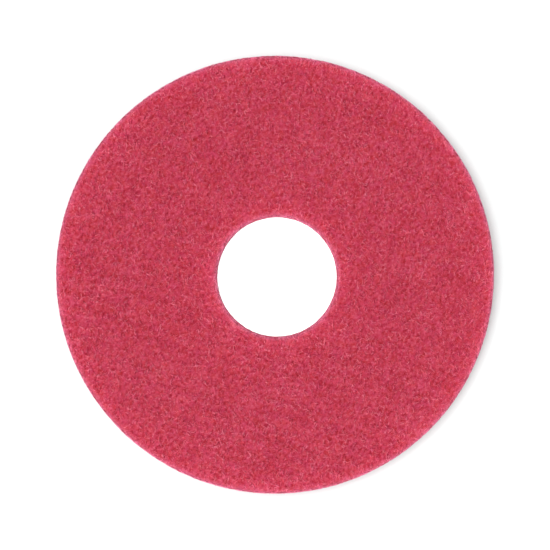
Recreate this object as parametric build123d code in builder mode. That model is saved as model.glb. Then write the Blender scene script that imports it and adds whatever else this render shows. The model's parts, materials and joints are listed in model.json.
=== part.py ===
"""Floor buffing pad: a thick ring of non-woven fibre web with an open centre hole.

Millimetres, +Z up. The origin is the centre of the face that lies on the floor, so the web stands
from z = 0 to its thickness. The pad is one bonded web, die-cut to a ring: it has no other piece,
no insert and nothing that moves, and either face can be the working one.
"""

import os

from build123d import *

INCH = 25.4

# Driving dimensions
pad_diameter = 12 * INCH  # a nominal 12 in pad
pad_thickness = 1 * INCH  # the usual thickness of a full-thickness floor pad
hole_diameter = 85.0  # open centre hole, where the die-cut plug has been pushed out
edge_radius = 2.0  # the springy web rounds off slightly where the die has cut it

os.makedirs("parts", exist_ok=True)

# The web: a flat ring with its four cut edges slightly rounded.
with BuildPart() as floor_pad:
    with BuildSketch(Plane.XY):
        Circle(pad_diameter / 2)
        Circle(hole_diameter / 2, mode=Mode.SUBTRACT)
    extrude(amount=pad_thickness)
    fillet(floor_pad.edges().filter_by(GeomType.CIRCLE), radius=edge_radius)

floor_pad.part.label = "floor_pad"
export_step(floor_pad.part, "parts/floor_pad.step")
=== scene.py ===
"""Looks of the floor buffing pad: a springy web of crimped red fibres, die-cut to a ring.

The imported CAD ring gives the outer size, the thickness and the centre hole. In its place stand a
pitted core, which is the depth of the web, and layers of real crimped strands over all its sides.
Lengths are in metres.
"""

import json
import math

import bpy
import numpy as np
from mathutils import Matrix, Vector


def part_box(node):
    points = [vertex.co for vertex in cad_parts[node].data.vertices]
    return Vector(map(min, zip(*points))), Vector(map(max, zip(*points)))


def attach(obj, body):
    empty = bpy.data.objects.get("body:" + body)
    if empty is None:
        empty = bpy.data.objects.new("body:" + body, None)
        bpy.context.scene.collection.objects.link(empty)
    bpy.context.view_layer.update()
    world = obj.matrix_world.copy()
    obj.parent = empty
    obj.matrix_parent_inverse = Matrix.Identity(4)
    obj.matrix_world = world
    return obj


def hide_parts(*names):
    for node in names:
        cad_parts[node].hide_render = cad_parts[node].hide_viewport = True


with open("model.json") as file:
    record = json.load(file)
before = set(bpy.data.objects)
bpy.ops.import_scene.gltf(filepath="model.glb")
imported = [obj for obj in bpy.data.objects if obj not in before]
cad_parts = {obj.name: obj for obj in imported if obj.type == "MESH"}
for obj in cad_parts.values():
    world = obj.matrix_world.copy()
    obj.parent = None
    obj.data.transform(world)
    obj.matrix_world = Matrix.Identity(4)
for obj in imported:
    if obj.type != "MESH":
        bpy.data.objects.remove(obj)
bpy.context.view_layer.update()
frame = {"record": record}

MM = 0.001
NODE = "floor_pad"

# The web
SPRING_BACK = 0.6 * MM  # how far the cut web closes in on the hole
ROUNDING = 2.4 * MM  # how far the cut edges are rounded off
OFF_CENTRE = (0.67 * MM, -0.77 * MM)  # half of how far the hole is cut off the rim's centre
GRAIN = 0.18  # how much more the fibres lie along y than along x, as the web was laid down
LUMP_HEIGHT = 0.2 * MM  # of the long, low lumps that the whole web has
CLUMP_HEIGHT = 0.12 * MM
PIT_DEPTH = 0.34 * MM
PIT_LIMITS = (-2.5, 0.8)  # the deepest pit and the highest rise beside one, in pit depths

# By the cut walls, where painted light brightens the web
PAINTED_GLOW_REACH = 7.7 * MM  # how far in from a wall the painted light that it lets through reaches
STEEP_PAINTED_GLOW = 0.7  # how much of that painted light an upright face gets there, against a level one
FRINGE_REACH = 0.95 * MM  # how far in from it the cut ends, with their painted light, show
FRINGE_SHARE = 0.15  # how much of them shows on the wall itself, against its rounded edges
PACKED_REACH = 3.0 * MM  # how far in from a wall the strands are packed
PACKED_SHARE = 0.15  # how deep the pores are at the wall, against elsewhere

# The core
CORE_DEPTH = 1.0 * MM  # its mean depth below the pad's outer surface
CUT_RISE = 0.5 * MM  # how much closer to the surface it is by the cut walls
CORE_LOWEST = 0.3 * MM  # how far above the ground it stays
CORE_STEPS = 360  # around the pad, before it is remeshed
VOXEL = 1.34 * MM  # its mesh size, which keeps it under 200,000 triangles

# The ring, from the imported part
PAD_LOW, PAD_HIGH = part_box(NODE)
OUTER = (PAD_HIGH.x - PAD_LOW.x) / 2
THICKNESS = PAD_HIGH.z - PAD_LOW.z
HOLE = next(m for m in frame["record"]["mounts"] if m["name"] == "centre_hole")
INNER = HOLE["dims"]["r_mm"] * MM - SPRING_BACK

# The strands
STRAND_STEP = 0.65 * MM  # one straight segment
STRAND_SIDES = 3
STRAND_RADIUS = 0.22 * MM
THINNEST, THICKEST = 0.6, 1.4  # of the strands, against STRAND_RADIUS
TAPER = 0.6  # how much of its thickness a strand loses at its ends
SEGMENTS_PER_PIECE = 31000  # six triangles each, which keeps a piece under 200,000
STEADY_CURL = 392.0  # how much a strand bends one way, in radians per metre
CRIMP_CURL = 672.0  # how much it bends to and fro
CRIMP_LENGTHS = (3 * MM, 7 * MM)  # the shortest and the longest wave of the crimp
WALL_CURL = 0.8  # how much of both bends is left in a cut wall
WALL_STRAY = 0.6  # how far from lengthways strands lie there, in radians
LEVELS = (-0.93 * MM, -0.36 * MM)  # the lowest and the highest that strands lie in the web
LIFT = 0.22 * MM  # how far the crimp carries them up and down
END_DIP = 0.8 * MM  # how far their ends dive into the web
WALL_LIMITS = (-0.25 * MM, -0.10 * MM)  # the die leaves nothing proud of its cut
FACE_LIMITS = (-2.40 * MM, 0.93 * MM)
STEEPEST_FACE = 0.6  # how far up a normal has to point, out of 1, not to be a cut wall's

# The colours
CUT_END_AND_PAINTED_LIGHT_COLOUR = (0.58, 0.26, 0.41, 1)  # of the cut ends, which show as a paler band: partly their own paler colour, partly painted light let through the cut edge
PAINTED_GLOW = 0.24  # how much painted light brightens the web at a cut wall
PAINTED_FRINGE_GLOW = 0.2  # how much more painted light brightens the cut ends
MOTTLE = 0.23  # how much the paleness varies in wide, soft patches
HUE = 0.49  # at its pinkest, where 0.5 leaves the colours as they are
HUE_SPREAD = 0.02  # how far towards orange it goes from there

# The camera
CAMERA_PLACE = (-0.67 * MM, 0.58 * MM, 2.0)
FRAME_WIDTH = 382.3 * MM  # what the picture spans at the pad's top


def section(inner, outer, low, high, rounding, arc_points=9):
    """The closed outline of a ring's cut section, clockwise from where its top meets the rim.

    Returns the distance along it, and rows of the radius, the height and the outward normal there.
    """
    corners = (
        (outer - rounding, high - rounding, 90),
        (outer - rounding, low + rounding, 0),
        (inner + rounding, low + rounding, -90),
        (inner + rounding, high - rounding, -180),
    )
    rows = []
    for radius, height, start in corners:
        for angle in np.radians(np.linspace(start, start - 90, arc_points)):
            across, up = math.cos(angle), math.sin(angle)
            rows.append((radius + rounding * across, height + rounding * up, across, up))
    rows.append(rows[0])
    rows = np.array(rows)
    lengths = np.hypot(np.diff(rows[:, 0]), np.diff(rows[:, 1]))
    return np.concatenate([[0.0], np.cumsum(lengths)]), rows


SECTION_LENGTHS, SECTION = section(INNER, OUTER, 0.0, THICKNESS, ROUNDING)


def on_section(distance):
    """The radius, the height and the outward normal at a distance along the pad's cut section."""
    wrapped = distance % SECTION_LENGTHS[-1]
    return [np.interp(wrapped, SECTION_LENGTHS, column) for column in SECTION.T]


def side_span(side):
    """Where one side of the pad starts and ends along the section, with half of its two edges."""
    bend = ROUNDING * math.pi / 2
    face = OUTER - INNER - 2 * ROUNDING
    wall = THICKNESS - 2 * ROUNDING
    starts = {
        "top": -face - bend / 2,
        "rim": bend / 2,
        "floor": bend * 1.5 + wall,
        "bore": bend * 2.5 + wall + face,
    }
    length = (face if side in ("top", "floor") else wall) + bend
    return starts[side], starts[side] + length


def random_field(seed, wavelength, waves=80, shortest=0.7, longest=1.5):
    """A smooth random height with mean 0 and spread 1, as a function of points in space.

    Its waves are spread evenly over all directions, and are a little longer along the grain.
    shortest and longest are in wavelengths.
    """
    rng = np.random.default_rng(seed)
    ups = (2 * np.arange(waves) + 1) / waves - 1
    turns = np.arange(waves) * math.pi * (3 - math.sqrt(5)) + rng.uniform(0, 2 * math.pi)
    across = np.sqrt(1 - ups**2)
    directions = np.stack([across * np.cos(turns), across * np.sin(turns), ups], axis=-1)
    sizes = wavelength * rng.uniform(shortest, longest, (waves, 1))
    vectors = directions * (1 + GRAIN, 1 - GRAIN, 1) * 2 * math.pi / sizes
    phases = rng.uniform(0, 2 * math.pi, waves)

    def height(points):
        flat = points.reshape(-1, 3)
        total = np.sin(flat @ vectors.T + phases).sum(axis=1) * math.sqrt(2 / waves)
        return total.reshape(points.shape[:-1])

    return height


lumps = random_field(seed=1, wavelength=34 * MM)
clumps = random_field(seed=22, wavelength=9 * MM)
pores = random_field(seed=23, wavelength=2.6 * MM)


def swell(points):
    """How far the long lumps and the small clumps of the web lift its surface."""
    return LUMP_HEIGHT * lumps(points) + CLUMP_HEIGHT * clumps(points)


def inset(points):
    """How far in from the nearer cut wall points are."""
    radius = np.hypot(points[..., 0], points[..., 1])
    return np.minimum(np.abs(radius - INNER), np.abs(OUTER - radius))


def pit(points):
    """How far the pores between the strands sink the surface, or the strands by them lift it.

    The pores are shallow by the cut walls, where the strands are cut short and packed.
    """
    share = PACKED_SHARE + (1 - PACKED_SHARE) * np.clip(inset(points) / PACKED_REACH, 0, 1)
    return share * PIT_DEPTH * np.clip(pores(points), *PIT_LIMITS)


def painted_wall_glow(points, normals):
    """How much painted light a cut wall lets through to the faces there, from 1 down to 0 deep
    inside.
    """
    share = STEEP_PAINTED_GLOW + (1 - STEEP_PAINTED_GLOW) * np.abs(normals[..., 2])
    return share * np.exp(-inset(points) / PAINTED_GLOW_REACH)


def cut_ends_and_painted_light(points, normals):
    """How much of the cut ends shows, with the painted light let through the cut edge: they stand
    out of the rounded edges more than the walls.
    """
    share = FRINGE_SHARE + (1 - FRINGE_SHARE) * np.sqrt(np.abs(normals[..., 2]))
    return share * np.exp(-inset(points) / FRINGE_REACH)


def cut_off_centre(points):
    """Shifts the web sideways, one way at the hole and the other at the rim, as the die cut it."""
    radius = np.hypot(points[..., 0], points[..., 1])
    share = 1 - 2 * (radius - INNER) / (OUTER - INNER)
    moved = points.copy()
    moved[..., 0] += OFF_CENTRE[0] * share
    moved[..., 1] += OFF_CENTRE[1] * share
    return moved


def mesh_object(name, vertices, *faces):
    """A smooth-shaded object in the pad's frame, from arrays of vertices and of equal faces."""
    corners = np.concatenate([f.ravel() for f in faces]).astype(np.int32)
    sizes = np.concatenate([np.full(len(f), f.shape[1]) for f in faces])
    starts = np.concatenate([[0], np.cumsum(sizes)[:-1]]).astype(np.int32)
    mesh = bpy.data.meshes.new(name)
    mesh.vertices.add(len(vertices))
    mesh.vertices.foreach_set("co", vertices.astype(np.float32).ravel())
    mesh.loops.add(len(corners))
    mesh.loops.foreach_set("vertex_index", corners)
    mesh.polygons.add(len(starts))
    mesh.polygons.foreach_set("loop_start", starts)
    mesh.update(calc_edges=True)
    mesh.shade_smooth()
    piece = bpy.data.objects.new(name, mesh)
    bpy.context.scene.collection.objects.link(piece)
    return piece


def mark(mesh, name, values):
    """Keeps a value for each vertex, which the materials read."""
    layer = mesh.attributes.new(name, "FLOAT", "POINT")
    layer.data.foreach_set("value", values.astype(np.float32).ravel())


def make_core():
    """The depth of the web: a closed ring just under the surface, lumpy and pitted all over."""
    rows = section(
        INNER + CORE_DEPTH,
        OUTER - CORE_DEPTH,
        CORE_DEPTH,
        THICKNESS - CORE_DEPTH,
        ROUNDING - CORE_DEPTH,
    )[1][:-1]
    angles = np.linspace(0, 2 * math.pi, CORE_STEPS, endpoint=False)[:, None]
    heights = rows[:, 1] + 0 * angles  # the same all round
    places = [rows[:, 0] * np.cos(angles), rows[:, 0] * np.sin(angles), heights]
    ids = np.arange(heights.size).reshape(heights.shape)
    along = np.roll(ids, -1, 1)
    quads = np.stack([ids, along, np.roll(along, -1, 0), np.roll(ids, -1, 0)], axis=-1)
    core = mesh_object("web_core", np.stack(places, axis=-1).reshape(-1, 3), quads.reshape(-1, 4))

    remesh = core.modifiers.new("even_mesh", "REMESH")
    remesh.mode = "VOXEL"
    remesh.voxel_size = VOXEL
    evaluated = core.evaluated_get(bpy.context.evaluated_depsgraph_get())
    even = bpy.data.meshes.new_from_object(evaluated)
    core.modifiers.clear()
    core.data = even

    places, normals = np.empty((2, len(even.vertices), 3), np.float32)
    even.vertices.foreach_get("co", places.ravel())
    even.vertices.foreach_get("normal", normals.ravel())
    sunk = pit(places)
    by_wall = 1 - np.clip((inset(places) - CORE_DEPTH) / PACKED_REACH, 0, 1)
    height = sunk + swell(places) * (1 - by_wall) + CUT_RISE * by_wall
    # the pits' depth, which the material turns into painted shade
    mark(even, "height", sunk / MM)
    # painted light by the cut walls, and the cut ends with painted light at their edges
    mark(even, "painted_glow", painted_wall_glow(places, normals))
    mark(even, "fringe_and_painted_light", cut_ends_and_painted_light(places, normals))
    places = cut_off_centre(places + normals * height[:, None])
    places[:, 2] = np.maximum(places[:, 2], CORE_LOWEST)
    even.vertices.foreach_set("co", places.astype(np.float32).ravel())
    even.shade_smooth()
    even.update()
    return core


def crimp(rng, count, along):
    """For each strand, a wave of its own length and start along it, from -1 to 1."""
    lengths = rng.uniform(*CRIMP_LENGTHS, (count, 1))
    return np.sin(2 * math.pi * along / lengths + rng.uniform(0, 2 * math.pi, (count, 1)))


def strand_paths(rng, side, count, steps):
    """Crimped strands laid over one side: their points, the web's normals, and how high each lies.

    A strand starts in the middle, at a random place, and is followed both ways along the section
    and around the pad.
    """
    distance = rng.uniform(*side_span(side), count * 4)
    reached = rng.uniform(0, OUTER if side != "bore" else INNER, len(distance))
    distance = distance[reached < on_section(distance)[0]][:count, None]  # evenly over the area
    start = rng.uniform(0, 2 * math.pi, (count, 1))
    along = np.arange(steps) * STRAND_STEP
    middle = steps // 2

    bend = STEADY_CURL * rng.normal(size=(count, 1)) + CRIMP_CURL * crimp(rng, count, along)
    if side in ("rim", "bore"):  # the web is laid flat, so its layers show lengthways in a cut
        heading = rng.choice([-0.5, 0.5], (count, 1)) * math.pi
        heading = heading + rng.normal(0, WALL_STRAY, (count, 1))
        bend = bend * WALL_CURL
    else:
        laid = rng.uniform(0, 2 * math.pi, (count, 1))
        laid = laid + GRAIN * np.sin(2 * laid)
        heading = laid - start if side == "top" else start - laid
    turned = np.cumsum(bend * STRAND_STEP, axis=1)
    heading = heading + turned - turned[:, middle, None]
    run = np.cumsum(np.cos(heading) * STRAND_STEP, axis=1)
    radius, height, across, up = on_section(distance + run - run[:, middle, None])
    turn = np.cumsum(np.sin(heading) * STRAND_STEP / radius, axis=1)
    turn = turn - turn[:, middle, None] + start

    normals = np.stack([across * np.cos(turn), across * np.sin(turn), up], axis=-1)
    points = np.stack([radius * np.cos(turn), radius * np.sin(turn), height], axis=-1)
    ends = np.abs(np.linspace(-1, 1, steps)) ** 6
    raised = rng.uniform(*LEVELS, (count, 1)) + LIFT * crimp(rng, count, along)
    raised = raised - ends * END_DIP + pit(points)
    on_face = np.clip((np.abs(up) - STEEPEST_FACE) / (1 - STEEPEST_FACE), 0, 1)
    on_face = on_face * np.clip(inset(points) / PACKED_REACH, 0, 1)
    lowest, highest = (
        wall + (face - wall) * on_face for wall, face in zip(WALL_LIMITS, FACE_LIMITS)
    )
    placed = np.clip(raised + swell(points), lowest, highest)
    return points + normals * placed[..., None], normals, raised


def make_strands(name, seed, side, steps, segments):
    """One piece of closed, tapered tubes that follow strand_paths, each with that many steps."""
    rng = np.random.default_rng(seed)
    count = segments // (steps - 1)
    points, normals, raised = strand_paths(rng, side, count, steps)
    # painted light by the cut walls, and the cut ends with painted light at their edges
    painted_glow, fringe_and_painted_light = painted_wall_glow(points, normals), cut_ends_and_painted_light(points, normals)
    points = cut_off_centre(points)
    points[..., 2] = np.maximum(points[..., 2], THICKEST * STRAND_RADIUS)
    tangents = np.gradient(points, axis=1)
    tangents /= np.linalg.norm(tangents, axis=2, keepdims=True)
    sides = np.cross(tangents, normals)
    sides /= np.linalg.norm(sides, axis=2, keepdims=True)
    ups = np.cross(sides, tangents)
    angles = 2 * math.pi * np.arange(STRAND_SIDES) / STRAND_SIDES + math.pi / 2
    thick = STRAND_RADIUS * rng.uniform(THINNEST, THICKEST, (count, 1))
    thick = thick * (1 - TAPER * np.abs(np.linspace(-1, 1, steps)) ** 8)
    across, up = np.cos(angles)[:, None], np.sin(angles)[:, None]
    offsets = sides[:, :, None] * across + ups[:, :, None] * up
    vertices = points[:, :, None] + offsets * thick[:, :, None, None]

    ids = np.arange(count * steps * STRAND_SIDES).reshape(count, steps, STRAND_SIDES)
    here, ahead = ids[:, :-1], ids[:, 1:]
    quads = np.stack([here, np.roll(here, -1, 2), np.roll(ahead, -1, 2), ahead], axis=-1)
    caps = np.concatenate([ids[:, 0, ::-1], ids[:, -1]])
    piece = mesh_object(name, vertices.reshape(-1, 3), quads.reshape(-1, 4), caps)
    # how deep each strand lies, which the material turns into painted shade
    mark(piece.data, "height", np.repeat(raised / MM, STRAND_SIDES))
    # painted light by the cut walls, and the cut ends with painted light at their edges
    mark(piece.data, "painted_glow", np.repeat(painted_glow, STRAND_SIDES))
    mark(piece.data, "fringe_and_painted_light", np.repeat(fringe_and_painted_light, STRAND_SIDES))
    return piece


def feed(tree, socket, value):
    """Sets a socket, or links it where the value is another node's socket."""
    if isinstance(value, bpy.types.NodeSocket):
        tree.links.new(value, socket)
    else:
        socket.default_value = value


def node(tree, kind, **inputs):
    """A node of that kind, with its sockets fed by name."""
    made = tree.nodes.new("ShaderNode" + kind)
    for name, value in inputs.items():
        feed(tree, made.inputs[name], value)
    return made


def weighted_sum(tree, base, terms):
    """base plus each of terms, (socket, weight), as a socket."""
    total = base
    for source, weight in terms:
        step = tree.nodes.new("ShaderNodeMath")
        step.operation = "MULTIPLY_ADD"
        for socket, value in zip(step.inputs, (source, weight, total)):
            feed(tree, socket, value)
        total = step.outputs[0]
    return total


def marked(tree, name):
    """The value that mark kept under that name, as a socket."""
    made = tree.nodes.new("ShaderNodeAttribute")
    made.attribute_name = name
    return made.outputs["Fac"]


def web_material(name, base, height, own, fine, colours, roughness, specular):
    """Resin-coated red fibre, with painted shade that makes it deep and saturated in the pores, and
    painted light that makes it pale and pink where it stands up.

    The weights say how much the paleness follows the height in millimetres, which paints the shade
    and light, each strand's own shade and a fine blotchiness, and colours are at a paleness of 0,
    0.5 and 1. By the cut walls the web is brighter with painted light let through them, with a band
    of cut ends along their edges, partly their paler colour and partly painted light. Returns the
    blotchiness too.
    """
    material = bpy.data.materials.new(name)
    material.use_nodes = True
    tree = material.node_tree
    shader = tree.nodes["Principled BSDF"]
    place = tree.nodes.new("ShaderNodeTexCoord").outputs["Object"]
    blotch = node(tree, "TexNoise", Vector=place, Scale=800.0, Detail=3.0, Roughness=0.6)
    patches = node(tree, "TexNoise", Vector=place, Scale=230.0, Detail=1.0)
    mottle = node(tree, "TexNoise", Vector=place, Scale=46.0, Distortion=0.8)
    heights, painted_glow, fringe_and_painted_light = (marked(tree, kept) for kept in ("height", "painted_glow", "fringe_and_painted_light"))
    strand = tree.nodes.new("ShaderNodeNewGeometry").outputs["Random Per Island"]
    # the paleness follows the height: painted shade in the pores and painted light where the web
    # stands up
    paleness = weighted_sum(
        tree,
        base,
        (
            (heights, height),
            (strand, own),
            (blotch.outputs["Fac"], fine),
            (mottle.outputs["Fac"], MOTTLE),
        ),
    )
    ramp = tree.nodes.new("ShaderNodeValToRGB")
    stops = ramp.color_ramp.elements
    stops[1].position = 1.0
    stops.new(0.5)
    for stop, colour in zip(stops, colours):
        stop.color = (*colour, 1)
    tree.links.new(paleness, ramp.inputs["Fac"])
    # the cut ends' colour, partly painted light, and painted light that brightens the web by the
    # cut walls and more at its edges
    colour = node(tree, "MixRGB", Fac=fringe_and_painted_light, Color1=ramp.outputs["Color"], Color2=CUT_END_AND_PAINTED_LIGHT_COLOUR)
    brightness = weighted_sum(tree, 1.0, ((painted_glow, PAINTED_GLOW), (fringe_and_painted_light, PAINTED_FRINGE_GLOW)))
    hue = weighted_sum(tree, HUE, ((patches.outputs["Fac"], HUE_SPREAD),))
    tint = node(tree, "HueSaturation", Color=colour.outputs["Color"], Value=brightness, Hue=hue)
    tree.links.new(tint.outputs["Color"], shader.inputs["Base Color"])
    shader.inputs["Roughness"].default_value = roughness
    shader.inputs["Specular IOR Level"].default_value = specular
    return material, blotch.outputs["Fac"]


def strand_material():
    """Of the strands, which differ from each other in shade."""
    return web_material(
        "strands",
        base=-0.39,
        height=0.45,
        own=0.45,
        fine=1.6,
        colours=((0.412, 0.0105, 0.033), (0.598, 0.062, 0.118), (0.804, 0.207, 0.286)),
        roughness=0.5,
        specular=0.12,
    )[0]


def core_material():
    """Of the core, darker and duller than the strands, its darkness painted shade of the web's
    depths, and rough all over.
    """
    material, blotch = web_material(
        "web_depth_painted_shade",
        base=-0.625,
        height=0.45,
        own=0.0,
        fine=1.92,
        # darker than the strands' colours: painted shade of the web's depths
        colours=((0.274, 0.0055, 0.017), (0.386, 0.029, 0.060), (0.498, 0.081, 0.127)),
        roughness=0.8,
        specular=0.2,
    )
    tree = material.node_tree
    bump = node(tree, "Bump", Height=blotch, Strength=0.5, Distance=0.5 * MM)
    tree.links.new(bump.outputs["Normal"], tree.nodes["Principled BSDF"].inputs["Normal"])
    return material


def add_piece(piece, material):
    """Makes a piece part of the pad: gives it its material and its body, and hides the CAD node it
    stands in for.
    """
    piece.data.materials.clear()
    piece.data.materials.append(material)
    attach(piece, "root")
    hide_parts(NODE)


def make_pad():
    """The core, and the layers of strands over its sides."""
    core = make_core()
    add_piece(core, core_material())
    strands = strand_material()
    layers = (  # name, side, pieces, steps of a strand, share of a full piece
        ("top_short", "top", 4, 8, 1.0),
        ("top_long", "top", 2, 15, 1.0),
        ("floor", "floor", 2, 12, 1.0),
        ("rim", "rim", 2, 10, 1.0),
        ("bore", "bore", 1, 9, 0.55),
    )
    seed = 100
    for name, side, pieces, steps, share in layers:
        for number in range(pieces):
            seed += 1
            segments = int(SEGMENTS_PER_PIECE * share)
            piece = make_strands(f"{name}_strands_{number + 1}", seed, side, steps, segments)
            add_piece(piece, strands)


def make_floor():
    """The white ground, a shade of green-blue against the red that the pad sheds on its shadow."""
    size = 30.0
    corners = np.array([(-size, -size, 0), (size, -size, 0), (size, size, 0), (-size, size, 0)])
    floor = mesh_object("stage_floor", corners, np.array([[0, 1, 2, 3]]))
    material = bpy.data.materials.new("stage_white")
    material.use_nodes = True
    shader = material.node_tree.nodes["Principled BSDF"]
    shader.inputs["Base Color"].default_value = (0.61, 0.65, 0.646, 1)
    shader.inputs["Emission Color"].default_value = (1, 1, 1, 1)
    shader.inputs["Emission Strength"].default_value = 0.18
    shader.inputs["Roughness"].default_value = 0.9
    shader.inputs["Specular IOR Level"].default_value = 0.0
    floor.data.materials.append(material)


def make_world(fill, gleam, seen):
    """White all round: what it sheds on the pad, shows in its gloss, and is to the eye."""
    world = bpy.data.worlds.new("studio")
    world.use_nodes = True
    tree = world.node_tree
    tree.nodes.clear()
    path = tree.nodes.new("ShaderNodeLightPath")
    shed, gloss, shown = (
        node(tree, "Background", Color=(1, 1, 1, 1), Strength=strength)
        for strength in (fill, gleam, seen)
    )
    lit = node(tree, "MixShader", Fac=path.outputs["Is Glossy Ray"])
    tree.links.new(shed.outputs[0], lit.inputs[1])
    tree.links.new(gloss.outputs[0], lit.inputs[2])
    mix = node(tree, "MixShader", Fac=path.outputs["Is Camera Ray"])
    tree.links.new(lit.outputs[0], mix.inputs[1])
    tree.links.new(shown.outputs[0], mix.inputs[2])
    out = tree.nodes.new("ShaderNodeOutputWorld")
    tree.links.new(mix.outputs[0], out.inputs["Surface"])
    bpy.context.scene.world = world


def add_light(name, kind, energy, place, target=(0, 0, 0)):
    """A light at a place that points to its target."""
    light = bpy.data.lights.new(name, kind)
    light.energy = energy
    lamp = bpy.data.objects.new(name, light)
    lamp.location = place
    away = Vector(place) - Vector(target)
    lamp.rotation_euler = away.to_track_quat("Z", "Y").to_euler()
    bpy.context.scene.collection.objects.link(lamp)
    return light


def make_lights():
    """A soft key from high on the left, a low one from the front, and one down through the hole."""
    key = add_light("key_light", "SUN", energy=3.3, place=(-0.158, 0.025, 1))
    key.angle = math.radians(28)
    front = add_light("front_light", "AREA", energy=4.5, place=(-0.35, -1.0, 0.35))
    front.shape = "DISK"
    front.size = 0.5
    height = 1.5
    above, below = (*OFF_CENTRE, height), (*OFF_CENTRE, 0)
    hole = add_light("hole_light", "SPOT", energy=130.0, place=above, target=below)
    hole.spot_size = 2 * math.atan(INNER / height)
    hole.spot_blend = 0.0
    hole.shadow_soft_size = 0.001


def make_camera():
    """Straight above the pad, far off with a long lens."""
    camera = bpy.data.cameras.new("camera")
    camera.sensor_width = 36.0
    camera.lens = camera.sensor_width * (CAMERA_PLACE[2] - THICKNESS) / FRAME_WIDTH
    holder = bpy.data.objects.new("camera", camera)
    holder.location = CAMERA_PLACE
    bpy.context.scene.collection.objects.link(holder)
    bpy.context.scene.camera = holder


make_camera()
make_floor()
make_world(fill=0.35, gleam=1.3, seen=1.1)
make_lights()
make_pad()
bpy.context.scene.view_settings.view_transform = "Standard"
